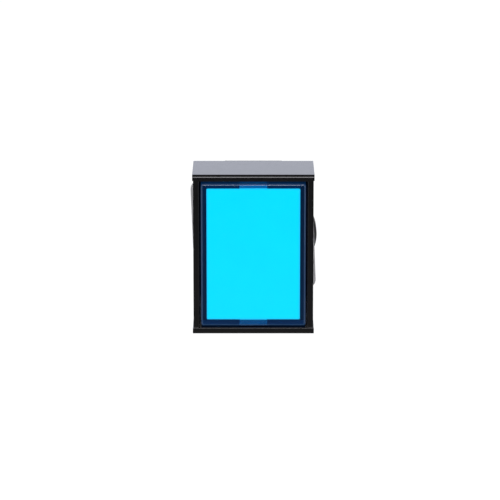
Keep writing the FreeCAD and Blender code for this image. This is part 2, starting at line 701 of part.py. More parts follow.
def eyelet(width_axis, x, y):
    """The wiring hole across a terminal strip, near its end."""
    hole = doc.addObject("Part::Cylinder", "eyelet")
    hole.setExpression("Radius", "Dims.eyelet_radius")
    hole.setExpression("Height", "4 * Dims.strip_thickness")
    level = f"{TERMINAL_END} + Dims.eyelet_setback"
    if width_axis == "y":
        hole.Placement.Rotation = FreeCAD.Rotation(FreeCAD.Vector(0, 1, 0), 90)
        bind_base(hole, f"{x} - 2 * Dims.strip_thickness", y, level)
    else:
        hole.Placement.Rotation = FreeCAD.Rotation(FreeCAD.Vector(1, 0, 0), -90)
        bind_base(hole, x, f"{y} - 2 * Dims.strip_thickness", level)
    return hole


def make_open_terminal(label, side):
    """A straight strip behind the open contact, with a bent finger under its tip."""
    x, y = "Dims.contact_offset", f"{side}Dims.tip_spacing / 2"
    finger_back = f"({OPEN_FINGER_FRONT} - Dims.strip_thickness)"
    strip = block("Dims.strip_thickness", "Dims.strip_width", f"{finger_back} - {TERMINAL_END}",
                  f"{x} - Dims.strip_thickness / 2", f"{y} - Dims.strip_width / 2", TERMINAL_END)
    finger = block("Dims.bar_width", "Dims.strip_width", "Dims.strip_thickness",
                   f"{x} - Dims.bar_width / 2", f"{y} - Dims.strip_width / 2", finger_back)
    return keep(drilled(join([strip, finger]), eyelet("y", x, y)), label)


def make_closed_terminal(label, side):
    """A strip beside the closed contact bar, with a finger bent inwards in front of it."""
    x = "(-Dims.contact_offset)"
    low = "Dims.closed_leg_offset"
    leg_y = low if side == "" else f"(-{low} - Dims.strip_thickness)"
    finger_length = f"({low} + Dims.strip_thickness - Dims.tip_spacing / 2 + Dims.tip_radius)"
    finger_y = f"({low} + Dims.strip_thickness - {finger_length})"
    if side == "-":
        finger_y = f"(-{low} - Dims.strip_thickness)"
    leg = block("Dims.strip_width", "Dims.strip_thickness", f"{CLOSED_FINGER_FRONT} - {TERMINAL_END}",
                f"{x} - Dims.strip_width / 2", leg_y, TERMINAL_END)
    finger = block("Dims.strip_width", finger_length, "Dims.strip_thickness",
                   f"{x} - Dims.strip_width / 2", finger_y, CLOSED_FINGER_BACK)
    middle_y = f"({leg_y} + Dims.strip_thickness / 2)"
    return keep(drilled(join([leg, finger]), eyelet("x", x, middle_y)), label)


def make_lamp_terminal(label, side):
    """A flat strip in the lamp post that a lamp pin bears on."""
    y = LAMP_STRIP_INNER if side == "" else f"(-{LAMP_STRIP_INNER} - Dims.strip_thickness)"
    strip = block("Dims.lamp_strip_width", "Dims.strip_thickness", f"{POST_FRONT} - {TERMINAL_END}",
                  "-Dims.lamp_strip_width / 2", y, TERMINAL_END)
    middle_y = f"({y} + Dims.strip_thickness / 2)"
    return keep(drilled(strip, eyelet("x", "0", middle_y)), label)


# Lamp
def make_led_bulb():
    """The light-emitting diode: a rimmed cylinder with a domed end."""
    body = new_body("led_bulb")
    top = f"({LAMP_FRONT} + Dims.led_length)"
    rim_top = f"({LAMP_FRONT} + Dims.led_rim_height)"
    turned(body, [("0", LAMP_FRONT), ("Dims.lamp_base_radius", LAMP_FRONT),
                  ("Dims.lamp_base_radius", rim_top), ("Dims.led_radius", rim_top),
                  ("Dims.led_radius", top), ("0", top)])
    level = number(top)
    ease(body, body.Tip, "Fillet", "Dims.led_radius - Dims.led_tip_flat",
         lambda edge, at: math.isclose(at.z, level, abs_tol=1e-6))
    return keep(body, "led_bulb")


def make_lamp_base():
    """The round plug of the lamp, seated on the post."""
    body = new_body("lamp_base")
    span_pad(body, circle, POST_FRONT, LAMP_FRONT, "Dims.lamp_base_radius")
    for side in ("-", ""):
        span_pocket(body, circle, POST_FRONT, LAMP_FRONT, "Dims.led_pin_radius + Dims.fit_clearance",
                    "0", f"{side}Dims.led_pin_spacing / 2")
    return keep(body, "lamp_base")


def make_lamp_pins():
    """The two wire legs of the diode, through the plug and into the post."""
    low = f"({POST_FRONT} - Dims.led_pin_length)"
    places = ("-Dims.led_pin_spacing / 2", "Dims.led_pin_spacing / 2")
    pins = [rod("Dims.led_pin_radius", f"{LAMP_FRONT} - {low}", "0", y, low) for y in places]
    return keep(group(pins), "lamp_pins")


def make_contacts():
    """Both contact pairs, each with its bar, tips, spring and terminals."""
    offset = "Dims.contact_offset"
    make_bridge("open_contact_bar", offset, OPEN_BAR_BACK)
    make_tips("open_bar_tips", offset, f"{OPEN_BAR_BACK} - Dims.tip_thickness")
    make_tips("open_fixed_tips", offset, OPEN_FINGER_FRONT)
    make_bridge("closed_contact_bar", f"-{offset}", CLOSED_BAR_BACK)
    make_tips("closed_bar_tips", f"-{offset}", CLOSED_BAR_FRONT)
    make_tips("closed_fixed_tips", f"-{offset}", f"{CLOSED_FINGER_BACK} - Dims.tip_thickness")
    wire = ("Dims.contact_coil_radius", "Dims.contact_wire_radius")
    keep(coil(*wire, "Dims.open_spring_turns", OPEN_BAR_FRONT, CARRIER_BACK, offset), "open_contact_spring")
    keep(coil(*wire, "Dims.closed_spring_turns", BASE_FRONT, CLOSED_BAR_BACK, f"-{offset}"),
         "closed_contact_spring")
    for name, side in (("upper", ""), ("lower", "-")):
        make_open_terminal(f"open_terminal_{name}", side)
        make_closed_terminal(f"closed_terminal_{name}", side)
        make_lamp_terminal(f"lamp_terminal_{name}", side)


make_bezel_housing()
make_lens_cap()
make_marking_plate()
make_light_diffuser()
make_plunger()
make_return_spring()
make_panel_gasket()
make_lock_washer()
make_mounting_nut()
make_switch_case()
make_terminal_base()
make_contact_slider()
make_contacts()
make_led_bulb()
make_lamp_base()
make_lamp_pins()
doc.recompute()

failed = [item.Name for item in doc.Objects if {"Invalid", "Error"} & set(item.State)]
failed += [label for label, piece in subparts.items() if piece.Shape.isNull() or not piece.Shape.isValid()]
if failed:
    raise RuntimeError(f"these pieces did not build: {failed}")

os.makedirs("parts", exist_ok=True)
for label, piece in subparts.items():
    piece.Shape.exportStep(f"parts/{label}.step")
    print(f"{label}: {len(piece.Shape.Solids)} solid(s), {piece.Shape.Volume:.3f} mm3")
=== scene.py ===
"""Looks of a rectangular illuminated push button switch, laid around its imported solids."""

import logging
import math
from dataclasses import dataclass
from enum import Enum
from typing import Optional, Protocol, Union

import bpy
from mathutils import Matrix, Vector


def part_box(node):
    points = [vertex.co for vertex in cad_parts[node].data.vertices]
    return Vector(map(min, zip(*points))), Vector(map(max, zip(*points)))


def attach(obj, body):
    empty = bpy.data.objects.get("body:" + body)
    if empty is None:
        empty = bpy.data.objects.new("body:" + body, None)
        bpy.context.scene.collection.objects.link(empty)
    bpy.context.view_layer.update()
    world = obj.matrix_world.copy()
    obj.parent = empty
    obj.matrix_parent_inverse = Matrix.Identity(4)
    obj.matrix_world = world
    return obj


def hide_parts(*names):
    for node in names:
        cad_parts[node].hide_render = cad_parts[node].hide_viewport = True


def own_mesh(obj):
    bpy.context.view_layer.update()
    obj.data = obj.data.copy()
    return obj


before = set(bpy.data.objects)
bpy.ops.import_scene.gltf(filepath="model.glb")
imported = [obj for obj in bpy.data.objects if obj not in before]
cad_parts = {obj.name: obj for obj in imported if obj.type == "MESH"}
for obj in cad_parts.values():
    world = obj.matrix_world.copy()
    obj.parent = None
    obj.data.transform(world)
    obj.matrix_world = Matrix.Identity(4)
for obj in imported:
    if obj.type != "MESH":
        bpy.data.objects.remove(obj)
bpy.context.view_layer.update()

log = logging.getLogger("push_button")

Socket = bpy.types.NodeSocket
Material = bpy.types.Material
Colour = tuple[float, float, float]
Stretch = tuple[float, float, float]
Span = tuple[float, float]
Value = Union[float, int, bool, str, tuple, Vector, Socket, Material]
Inputs = dict[Union[str, int], Value]

MM = 0.001
FULL_TURN = 2 * math.pi
SHARP_ANGLE = math.radians(35.0)
MERGE_DISTANCE = 1e-6
EDGE_SAMPLES = 6
UNIT: Span = (0.0, 1.0)
EVEN: Stretch = (1.0, 1.0, 1.0)
WHITE = (1.0, 1.0, 1.0, 1.0)
NOISE_SPREAD: Span = (0.3, 0.7)
NOISE_ROUGHNESS = 0.55


class Slot(Enum):
    """Material slots of the part, by the finish that each one holds."""

    BEZEL = "bezel_black"
    LENS = "lens_blue"
    PLATE = "plate_lit"
    MILKY = "milky_white"
    CARRIER = "carrier_black"
    SPRING = "spring_steel"
    GASKET = "gasket_rubber"
    WASHER = "washer_steel"
    NUT = "nut_black"
    CASE = "case_black"
    BASE = "base_grey"
    SLIDER = "slider_white"
    BRASS = "contact_brass"
    SILVER = "tip_silver"
    TINNED = "terminal_tinned"
    EPOXY = "led_clear"
    LAMP = "lamp_white"


class NodeSheet:
    """Short calls that add nodes to a node tree and join them."""

    def __init__(self, tree: bpy.types.NodeTree) -> None:
        """Work on a tree that starts out empty."""
        self.tree = tree
        tree.nodes.clear()

    def add(self, kind: str, values: Inputs, **settings: Value) -> bpy.types.Node:
        """Add a node, set it up and feed its inputs.

        Args:
            kind: Blender's name for the node type.
            values: a number, colour or output for each input, by name or place.
            settings: the node's own options.

        Returns:
            The new node.
        """
        node = self.tree.nodes.new(kind)
        for key, value in settings.items():
            setattr(node, key, value)
        for key, value in values.items():
            socket = node.inputs[key]
            if isinstance(value, Socket):
                self.tree.links.new(value, socket)
            else:
                socket.default_value = value
        return node

    def math(self, operation: str, first: Value, second: Value = 0.0) -> Socket:
        """Work out one number from two.

        Args:
            operation: what the node does with them.
            first: a number or an output.
            second: a number or an output.

        Returns:
            The output that holds the result.
        """
        return self.add("ShaderNodeMath", {0: first, 1: second}, operation=operation).outputs[0]

    def split(self, vector: Socket) -> bpy.types.NodeOutputs:
        """The three outputs that hold a vector's numbers, by axis."""
        return self.add("ShaderNodeSeparateXYZ", {"Vector": vector}).outputs

    def scaled(self, value: Value, source: Span, target: Span = UNIT) -> Socket:
        """Map one range of numbers to another and keep to its ends.

        Args:
            value: the number or output to map.
            source: the range that it comes from.
            target: the range that it goes to.

        Returns:
            The output that holds the mapped number.
        """
        limits: Inputs = {
            "Value": value, "From Min": source[0], "From Max": source[1],
            "To Min": target[0], "To Max": target[1],
        }
        return self.add("ShaderNodeMapRange", limits).outputs["Result"]


class SurfaceSheet(NodeSheet):
    """The node tree of one material."""

    def __init__(self, name: str) -> None:
        """Start a material with an output and the piece's own coordinates.

        Args:
            name: the material's name.
        """
        self.material = bpy.data.materials.new(name)
        self.material.use_nodes = True
        super().__init__(self.material.node_tree)
        self.output = self.add("ShaderNodeOutputMaterial", {})
        own = self.add("ShaderNodeTexCoord", {})
        self.place, self.normal = own.outputs["Object"], own.outputs["Normal"]

    def noise(self, size_mm: float, detail: float = 3.0, stretch: Stretch = EVEN) -> Socket:
        """Cloudy noise on the piece's own coordinates.

        Args:
            size_mm: size of a cloud.
            detail: how many finer clouds it holds.
            stretch: frequency along each axis against the others.

        Returns:
            The output that holds the noise, from 0 to 1.
        """
        mapping = self.add("ShaderNodeMapping", {"Vector": self.place, "Scale": stretch})
        values: Inputs = {
            "Vector": mapping.outputs["Vector"], "Scale": 1.0 / (size_mm * MM),
            "Detail": detail, "Roughness": NOISE_ROUGHNESS,
        }
        return self.add("ShaderNodeTexNoise", values).outputs["Fac"]

    def clouds(self, size_mm: float, detail: float, target: Span = UNIT,
               stretch: Stretch = EVEN) -> Socket:
        """Cloudy noise that fills a range of numbers from end to end."""
        return self.scaled(self.noise(size_mm, detail, stretch), NOISE_SPREAD, target)

    def cells(self, size_mm: float) -> Socket:
        """Random grey cells, one value to each.

        Args:
            size_mm: size of a cell.

        Returns:
            The output that holds each cell's grey.
        """
        values: Inputs = {"Vector": self.place, "Scale": 1.0 / (size_mm * MM)}
        tint = self.add("ShaderNodeTexVoronoi", values).outputs["Color"]
        return self.add("ShaderNodeSeparateColor", {"Color": tint}).outputs["Red"]

    def blend(self, share: Value, first: Value, second: Value) -> Socket:
        """Mix two colours.

        Args:
            share: how much of the second shows.
            first: a colour or an output.
            second: a colour or an output.

        Returns:
            The output that holds the mixed colour.
        """
        return self.add("ShaderNodeMix", {0: share, 6: first, 7: second}, data_type="RGBA").outputs[2]

    def relief(self, height: Value, strength: float, depth_mm: float, edge_mm: float = 0.0) -> Socket:
        """Normals of a fine relief, on edges that may be softly rounded.

        Args:
            height: the output that holds the relief.
            strength: share of the relief that shows.
            depth_mm: its depth.
            edge_mm: radius of the rounding, none if it is 0.

        Returns:
            The output that holds the normal.
        """
        values: Inputs = {"Height": height, "Strength": strength, "Distance": depth_mm * MM}
        if edge_mm:
            bevel = self.add("ShaderNodeBevel", {"Radius": edge_mm * MM}, samples=EDGE_SAMPLES)
            values["Normal"] = bevel.outputs["Normal"]
        return self.add("ShaderNodeBump", values).outputs["Normal"]

    def finish(self, values: Inputs) -> Material:
        """Close the tree with one Principled surface.

        Args:
            values: its inputs.

        Returns:
            The finished material.
        """
        surface = self.add("ShaderNodeBsdfPrincipled", values)
        self.tree.links.new(surface.outputs["BSDF"], self.output.inputs["Surface"])
        return self.material


def shade(colour: Colour, level: float = 1.0) -> tuple[float, float, float, float]:
    """A colour made lighter or darker, with full opacity."""
    return (colour[0] * level, colour[1] * level, colour[2] * level, 1.0)


class Finish(Protocol):
    """Anything that makes a material under a slot's name."""

    def build(self, name: str) -> Material:
        """Make the material under that name."""


@dataclass(frozen=True)
class MouldedPlastic:
    """Moulded plastic or rubber, with flow clouds in its tone and a fine grain from the mould."""

    colour: Colour
    roughness: Span
    grain_mm: float
    grain_strength: float
    flow: float = 0.12
    edge_mm: float = 0.0
    glow: float = 0.0
    refraction: float = 1.5
    flow_mm: float = 2.5
    flow_detail: float = 4.0
    polish_mm: float = 0.9
    polish_detail: float = 5.0
    polish_stretch: Stretch = (1.0, 0.6, 1.4)
    grain_slope: float = 0.25

    def build(self, name: str) -> Material:
        """Make the plastic's material.

        Args:
            name: the material's name.

        Returns:
            The material.
        """
        sheet = SurfaceSheet(name)
        flow = sheet.clouds(self.flow_mm, self.flow_detail)
        dark, pale = shade(self.colour, 1 - self.flow), shade(self.colour, 1 + self.flow)
        polish = sheet.clouds(self.polish_mm, self.polish_detail, self.roughness, self.polish_stretch)
        depth_mm = self.grain_mm * self.grain_slope
        grain = sheet.relief(sheet.noise(self.grain_mm), self.grain_strength, depth_mm, self.edge_mm)
        values: Inputs = {
            "Base Color": sheet.blend(flow, dark, pale), "Roughness": polish, "Normal": grain,
            "IOR": self.refraction,
        }
        if self.glow:
            values |= {"Emission Color": shade(self.colour), "Emission Strength": self.glow}
        return sheet.finish(values)


@dataclass(frozen=True)
class PlatedMetal:
    """Plated or drawn metal, with rolling streaks and a fine crystal mottle."""

    colour: Colour
    roughness: Span
    streak: Stretch
    mottle_mm: float = 0.35
    mottle: float = 0.1
    streak_mm: float = 0.5
    streak_detail: float = 6.0
    streak_strength: float = 0.25
    streak_depth_mm: float = 0.01

    def build(self, name: str) -> Material:
        """Make the metal's material.

        Args:
            name: the material's name.

        Returns:
            The material.
        """
        sheet = SurfaceSheet(name)
        crystals = sheet.cells(self.mottle_mm)
        tone = sheet.blend(crystals, shade(self.colour, 1 - self.mottle), shade(self.colour))
        streaks = sheet.noise(self.streak_mm, self.streak_detail, self.streak)
        polish = sheet.scaled(streaks, NOISE_SPREAD, self.roughness)
        lines = sheet.relief(streaks, self.streak_strength, self.streak_depth_mm)
        return sheet.finish({"Base Color": tone, "Metallic": 1.0, "Roughness": polish, "Normal": lines})


@dataclass(frozen=True)
class SatinEdgeWithPaintedShade:
    """The satin sides and rounded edges of a clear piece whose face is polished, darkened by painted
    shade.
    """

    # tint and clear are painted shade: the sides and edges take a darker tint and let less light through
    # than the face
    tint: Colour
    clear: float
    roughness: float
    facing: Span = (0.95, 0.995)


@dataclass(frozen=True)
class ClearPlastic:
    """Clear tinted plastic with a polished mould face, faint flow haze and a little light held in it."""

    tint: Colour
    refraction: float
    roughness: Span
    held_light: Colour = (0.0, 0.0, 0.0)
    # edge paints shade on the sides and rounded edges and makes them satin
    edge: Optional[SatinEdgeWithPaintedShade] = None
    haze_mm: float = 1.8
    haze_detail: float = 4.0
    ripple_mm: float = 3.0
    ripple_detail: float = 1.0
    ripple_strength: float = 0.008
    ripple_depth_mm: float = 0.05

    def build(self, name: str) -> Material:
        """Make the clear plastic's material.

        Args:
            name: the material's name.

        Returns:
            The material.
        """
        sheet = SurfaceSheet(name)
        haze = sheet.clouds(self.haze_mm, self.haze_detail, self.roughness)
        waves = sheet.noise(self.ripple_mm, self.ripple_detail)
        values: Inputs = {
            "Base Color": shade(self.tint), "Roughness": haze, "IOR": self.refraction,
            "Normal": sheet.relief(waves, self.ripple_strength, self.ripple_depth_mm),
            "Transmission Weight": 1.0,
            "Emission Color": shade(self.held_light), "Emission Strength": 1.0,
        }
        # painted shade on the sides and rounded edges: a darker base colour and less transmission than
        # the face, with satin roughness
        if self.edge:
            turned = sheet.math("ABSOLUTE", sheet.split(sheet.normal)["Y"])
            front = sheet.scaled(turned, self.edge.facing)
            values["Base Color"] = sheet.blend(front, shade(self.edge.tint), shade(self.tint))
            values["Transmission Weight"] = sheet.scaled(front, UNIT, (self.edge.clear, 1.0))
            dull = sheet.math("SUBTRACT", self.edge.roughness, haze)
            away = sheet.math("SUBTRACT", 1.0, front)
            values["Roughness"] = sheet.math("ADD", haze, sheet.math("MULTIPLY", dull, away))
        return sheet.finish(values)


@dataclass(frozen=True)
class LitPlate:
    """A plate lit from behind: even in the middle, bluer at its rim, dim on its tabs and its edges."""

    colour: Colour
    middle: Colour
    rim: Colour
    tab: Colour
    lower_tab: float
    half_width_mm: float
    half_height_mm: float
    rim_mm: float
    edge: Colour
    edge_light: float = 0.02
    tab_fade_mm: float = 0.1
    facing: Span = (-0.9, -0.4)
    flow: float = 0.015
    flow_mm: float = 4.0
    flow_detail: float = 2.0
    grain_mm: float = 0.15
    grain_strength: float = 0.1
    grain_depth_mm: float = 0.02
    roughness: float = 0.6
    gloss: float = 0.2

    def build(self, name: str) -> Material:
        """Make the plate's material.

        Args:
            name: the material's name.

        Returns:
            The material.
        """
        sheet = SurfaceSheet(name)
        place = sheet.split(sheet.place)
        across = sheet.math("SUBTRACT", sheet.math("ABSOLUTE", place["X"]), self.half_width_mm * MM)
        along = sheet.math("SUBTRACT", sheet.math("ABSOLUTE", place["Z"]), self.half_height_mm * MM)
        rim = sheet.scaled(sheet.math("MAXIMUM", across, along), (-self.rim_mm * MM, 0.0))
        tab = sheet.scaled(along, (0.0, self.tab_fade_mm * MM))
        flow = sheet.clouds(self.flow_mm, self.flow_detail)
        middle = sheet.blend(flow, shade(self.middle, 1 - self.flow), shade(self.middle, 1 + self.flow))
        lower = sheet.math("LESS_THAN", place["Z"], 0.0)
        dim = sheet.blend(lower, shade(self.tab), shade(self.tab, self.lower_tab))
        light = sheet.blend(tab, sheet.blend(rim, middle, shade(self.rim)), dim)
        face = sheet.scaled(sheet.split(sheet.normal)["Y"], self.facing, (1.0, 0.0))
        side = sheet.scaled(tab, UNIT, (self.edge_light, 1.0))
        grain = sheet.relief(sheet.noise(self.grain_mm), self.grain_strength, self.grain_depth_mm)
        return sheet.finish({
            "Base Color": shade(self.colour), "Roughness": self.roughness, "Normal": grain,
            "Specular IOR Level": self.gloss,
            "Emission Color": sheet.blend(face, shade(self.edge), light),
            "Emission Strength": sheet.math("MAXIMUM", face, side),
        })


FINISHES: dict[Slot, Finish] = {
    Slot.BEZEL: MouldedPlastic(
        (0.0062, 0.0062, 0.0067), roughness=(0.09, 0.17), grain_mm=0.25, grain_strength=0.02),
    Slot.LENS: ClearPlastic(
        (0.22, 0.58, 0.92), refraction=1.49, roughness=(0.1, 0.14), held_light=(0.0, 0.009, 0.033),
        # painted shade on the lens's sides and rounded edges
        edge=SatinEdgeWithPaintedShade((0.018, 0.05, 0.125), clear=0.5, roughness=0.3)),
    Slot.PLATE: LitPlate(
        (0.0, 0.03, 0.05), middle=(0.0, 1.367, 1.15), rim=(0.06, 0.99, 1.05), tab=(0.0, 0.165, 0.31),
        lower_tab=0.38, half_width_mm=6.95, half_height_mm=10.0, rim_mm=0.3, edge=(0.001, 0.032, 0.125)),
    Slot.MILKY: MouldedPlastic(
        (0.75, 0.85, 0.9), roughness=(0.45, 0.6), grain_mm=0.2, grain_strength=0.08, flow=0.05,
        glow=0.012),
    Slot.CARRIER: MouldedPlastic(
        (0.02, 0.02, 0.022), roughness=(0.38, 0.5), grain_mm=0.12, grain_strength=0.25),
    Slot.SPRING: PlatedMetal((0.55, 0.55, 0.57), roughness=(0.2, 0.36), streak=(1.0, 6.0, 1.0)),
    Slot.GASKET: MouldedPlastic(
        (0.028, 0.028, 0.03), roughness=(0.7, 0.9), grain_mm=0.15, grain_strength=0.5, flow=0.25),
    Slot.WASHER: PlatedMetal(
        (0.78, 0.78, 0.79), roughness=(0.42, 0.56), streak=(1.0, 1.0, 7.0), mottle_mm=0.6),
    Slot.NUT: MouldedPlastic(
        (0.024, 0.024, 0.026), roughness=(0.4, 0.55), grain_mm=0.12, grain_strength=0.35, edge_mm=0.08),
    Slot.CASE: MouldedPlastic(
        (0.022, 0.022, 0.024), roughness=(0.36, 0.5), grain_mm=0.14, grain_strength=0.35, edge_mm=0.1),
    Slot.BASE: MouldedPlastic(
        (0.06, 0.06, 0.065), roughness=(0.45, 0.6), grain_mm=0.14, grain_strength=0.35, edge_mm=0.08),
    Slot.SLIDER: MouldedPlastic(
        (0.78, 0.78, 0.74), roughness=(0.35, 0.5), grain_mm=0.2, grain_strength=0.15, flow=0.05),
    Slot.BRASS: PlatedMetal((0.75, 0.56, 0.27), roughness=(0.2, 0.38), streak=(6.0, 1.0, 1.0)),
    Slot.SILVER: PlatedMetal((0.85, 0.85, 0.84), roughness=(0.12, 0.25), streak=EVEN),
    Slot.TINNED: PlatedMetal(
        (0.74, 0.72, 0.67), roughness=(0.22, 0.4), streak=(3.0, 0.4, 3.0), mottle=0.16),
    Slot.EPOXY: ClearPlastic((0.8, 0.9, 0.97), refraction=1.54, roughness=(0.02, 0.04)),
    Slot.LAMP: MouldedPlastic(
        (0.8, 0.8, 0.77), roughness=(0.35, 0.5), grain_mm=0.2, grain_strength=0.15, flow=0.05),
}


class Palette:
    """Every finish of the part, made once."""

    def __init__(self) -> None:
        """Make the materials."""
        self.materials = {slot: finish.build(slot.value) for slot, finish in FINISHES.items()}

    def paint(self, slot: Slot, *nodes: str) -> None:
        """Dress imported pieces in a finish.

        Args:
            slot: the finish's slot.
            nodes: the pieces' names.
        """
        for name in nodes:
            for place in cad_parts[name].material_slots:
                place.material = self.materials[slot]
            log.info("%s wears %s", name, slot.value)


class ShapeSheet(NodeSheet):
    """A Geometry Nodes tree that bends a flat grid into a closed shape along a helix."""

    def __init__(self, name: str, rows: int, columns: int) -> None:
        """Start the tree with its grid.

        Args:
            name: the tree's name.
            rows: grid points along the helix.
            columns: grid points around its section.
        """
        super().__init__(bpy.data.node_groups.new(name, "GeometryNodeTree"))
        self.tree.interface.new_socket("Geometry", in_out="OUTPUT", socket_type="NodeSocketGeometry")
        self.sizes: dict[str, float] = {}
        self.source = self.add("NodeGroupInput", {})
        grid: Inputs = {"Size X": 1.0, "Size Y": 1.0, "Vertices X": rows, "Vertices Y": columns}
        self.grid = self.add("GeometryNodeMeshGrid", grid).outputs["Mesh"]
        place = self.split(self.add("GeometryNodeInputPosition", {}).outputs[0])
        self.along = self.math("ADD", place["X"], 0.5)
        self.around = self.math("ADD", place["Y"], 0.5)

    def size(self, name: str, value: float) -> Socket:
        """Give the tree a named input.

        Args:
            name: the input's name.
            value: what the piece sets it to.

        Returns:
            The output that holds it.
        """
        socket = self.tree.interface.new_socket(name, in_out="INPUT", socket_type="NodeSocketFloat")
        self.sizes[socket.identifier] = value
        return self.source.outputs[name]

    def between(self, first: Value, second: Value, share: Value) -> Socket:
        """The number that lies a share of the way from one to another."""
        gap = self.math("SUBTRACT", second, first)
        return self.math("ADD", first, self.math("MULTIPLY", share, gap))

    def bend(self, turn: Value, radius: Value, level: Value, centre_x: Value,
             material: Material) -> None:
        """Close the tree: bend the grid, join its seams and drop the points that no face uses.

        Args:
            turn: angle about the helix's axis.
            radius: distance from the axis.
            level: place along the axis.
            centre_x: where the axis stands.
            material: the shape's finish.
        """
        across = self.math("MULTIPLY", radius, self.math("COSINE", turn))
        drop = self.math("MULTIPLY", radius, self.math("SINE", turn))
        x, z = self.math("ADD", centre_x, across), self.math("MULTIPLY", drop, -1.0)
        place = self.add("ShaderNodeCombineXYZ", {"X": x, "Y": level, "Z": z}).outputs["Vector"]
        faces = self.add("GeometryNodeInputMeshVertexNeighbors", {}).outputs["Face Count"]
        loose = self.add("FunctionNodeCompare", {2: faces, 3: 0}, data_type="INT", operation="EQUAL")
        steps: tuple[tuple[str, Inputs], ...] = (
            ("SetPosition", {"Position": place}),
            ("MergeByDistance", {"Distance": MERGE_DISTANCE}),
            ("DeleteGeometry", {"Selection": loose.outputs[0]}),
            ("SetShadeSmooth", {"Shade Smooth": True}),
            ("RealizeInstances", {}),
            ("SetMaterial", {"Material": material}),
        )
        shape = self.grid
        for kind, values in steps:
            shape = self.add(f"GeometryNode{kind}", {"Geometry": shape, **values}).outputs[0]
        self.add("NodeGroupOutput", {0: shape})

    def piece(self, name: str) -> bpy.types.Object:
        """Turn the closed tree's result into a plain mesh.

        Args:
            name: the piece's name.

        Returns:
            The new piece.
        """
        item = bpy.data.objects.new(name, bpy.data.meshes.new(name))
        bpy.context.scene.collection.objects.link(item)
        modifier = item.modifiers.new("shape", "NODES")
        modifier.node_group = self.tree
        for identifier, value in self.sizes.items():
            modifier[identifier] = value
        ready = item.evaluated_get(bpy.context.evaluated_depsgraph_get())
        mesh = bpy.data.meshes.new_from_object(ready)
        item.modifiers.clear()
        item.data = mesh
        mesh.set_sharp_from_angle(angle=SHARP_ANGLE)
        log.info("%s has %d faces", name, len(mesh.polygons))
        return item


@dataclass
class CoilSpring:
    """A wound wire spring with closed end turns, which the button presses in the real switch."""

    node: str
    body: str
    anchor_mm: float
    keep: float
    centre_mm: float
    coil_mm: float
    wire_mm: float
    turns: float
    closing: float = 0.55
    steps_per_turn: int = 48
    sides: int = 14
    end_rows: int = 2

    def wind(self, material: Material) -> bpy.types.Object:
        """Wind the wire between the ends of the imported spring.

        Args:
            material: the wire's finish.

        Returns:
            The wound spring.
        """
        low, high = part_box(self.node)
        steps = round(self.turns * self.steps_per_turn) + self.end_rows
        sheet = ShapeSheet(f"{self.node}_wire", steps + 1, self.sides + 1)
        coil = sheet.size("Coil radius", self.coil_mm * MM)
        wire = sheet.size("Wire radius", self.wire_mm * MM)
        start = sheet.size("Start", low.y + self.wire_mm * MM)
        rise = sheet.size("Rise", high.y - low.y - 2 * self.wire_mm * MM)
        step = 1.0 / steps
        wound = sheet.scaled(sheet.along, (step, 1.0 - step))
        turned = sheet.math("MULTIPLY", sheet.size("Turns", self.turns), FULL_TURN)
        angle = sheet.math("MULTIPLY", wound, turned)
        from_middle = sheet.math("ABSOLUTE", sheet.math("SUBTRACT", sheet.along, 0.5))
        inside = sheet.math("LESS_THAN", from_middle, 0.5 - step / 2)
        section = sheet.math("MULTIPLY", wire, inside)
        side = sheet.math("MULTIPLY", sheet.around, FULL_TURN)
        radius = sheet.math("ADD", coil, sheet.math("MULTIPLY", section, sheet.math("COSINE", side)))
        eased = sheet.add("ShaderNodeMapRange", {"Value": wound}, interpolation_type="SMOOTHSTEP")
        closing = sheet.size("End closing", self.closing)
        share = sheet.between(wound, eased.outputs["Result"], closing)
        lift = sheet.math("MULTIPLY", section, sheet.math("SINE", side))
        level = sheet.math("ADD", sheet.math("ADD", start, sheet.math("MULTIPLY", share, rise)), lift)
        sheet.bend(angle, radius, level, self.centre_mm * MM, material)
        return sheet.piece(f"{self.node}_coil")

    def build(self, palette: Palette) -> None:
        """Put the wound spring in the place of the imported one.

        Args:
            palette: the part's finishes.
        """
        spring = self.wind(palette.materials[Slot.SPRING])
        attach(spring, self.body)
        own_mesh(spring)
        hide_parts(self.node)


@dataclass
class FrontButton:
    """The bezel and the button in it."""

    return_spring: CoilSpring

    def dress(self, palette: Palette) -> None:
        """Give each front piece its finish.

        Args:
            palette: the part's finishes.
        """
        palette.paint(Slot.BEZEL, "bezel_housing")
        palette.paint(Slot.LENS, "lens_cap")
        palette.paint(Slot.PLATE, "marking_plate")
        palette.paint(Slot.MILKY, "light_diffuser")
        palette.paint(Slot.CARRIER, "plunger")
        self.return_spring.build(palette)


class PanelFixings:
    """The gasket, the washer and the nut that clamp the panel."""

    def dress(self, palette: Palette) -> None:
        """Give each fixing its finish.

        Args:
            palette: the part's finishes.
        """
        palette.paint(Slot.GASKET, "panel_gasket")
        palette.paint(Slot.WASHER, "lock_washer")
        palette.paint(Slot.NUT, "mounting_nut")


@dataclass
class ContactUnit:
    """The case at the rear with its slider, both contact pairs and their terminals."""

    springs: tuple[CoilSpring, ...]

    def dress(self, palette: Palette) -> None:
        """Give each rear piece its finish.

        Args:
            palette: the part's finishes.
        """
        palette.paint(Slot.CASE, "switch_case")
        palette.paint(Slot.BASE, "terminal_base")
        palette.paint(Slot.SLIDER, "contact_slider")
        palette.paint(Slot.BRASS, "open_contact_bar", "closed_contact_bar")
        for pair in ("open", "closed"):
            palette.paint(Slot.SILVER, f"{pair}_bar_tips", f"{pair}_fixed_tips")
        for name in ("open", "closed", "lamp"):
            palette.paint(Slot.TINNED, f"{name}_terminal_upper", f"{name}_terminal_lower")
        for spring in self.springs:
            spring.build(palette)


class LampUnit:
    """The light-emitting diode on its plug."""

    def dress(self, palette: Palette) -> None:
        """Give each lamp piece its finish.

        Args:
            palette: the part's finishes.
        """
        palette.paint(Slot.EPOXY, "led_bulb")
        palette.paint(Slot.LAMP, "lamp_base")
        palette.paint(Slot.TINNED, "lamp_pins")


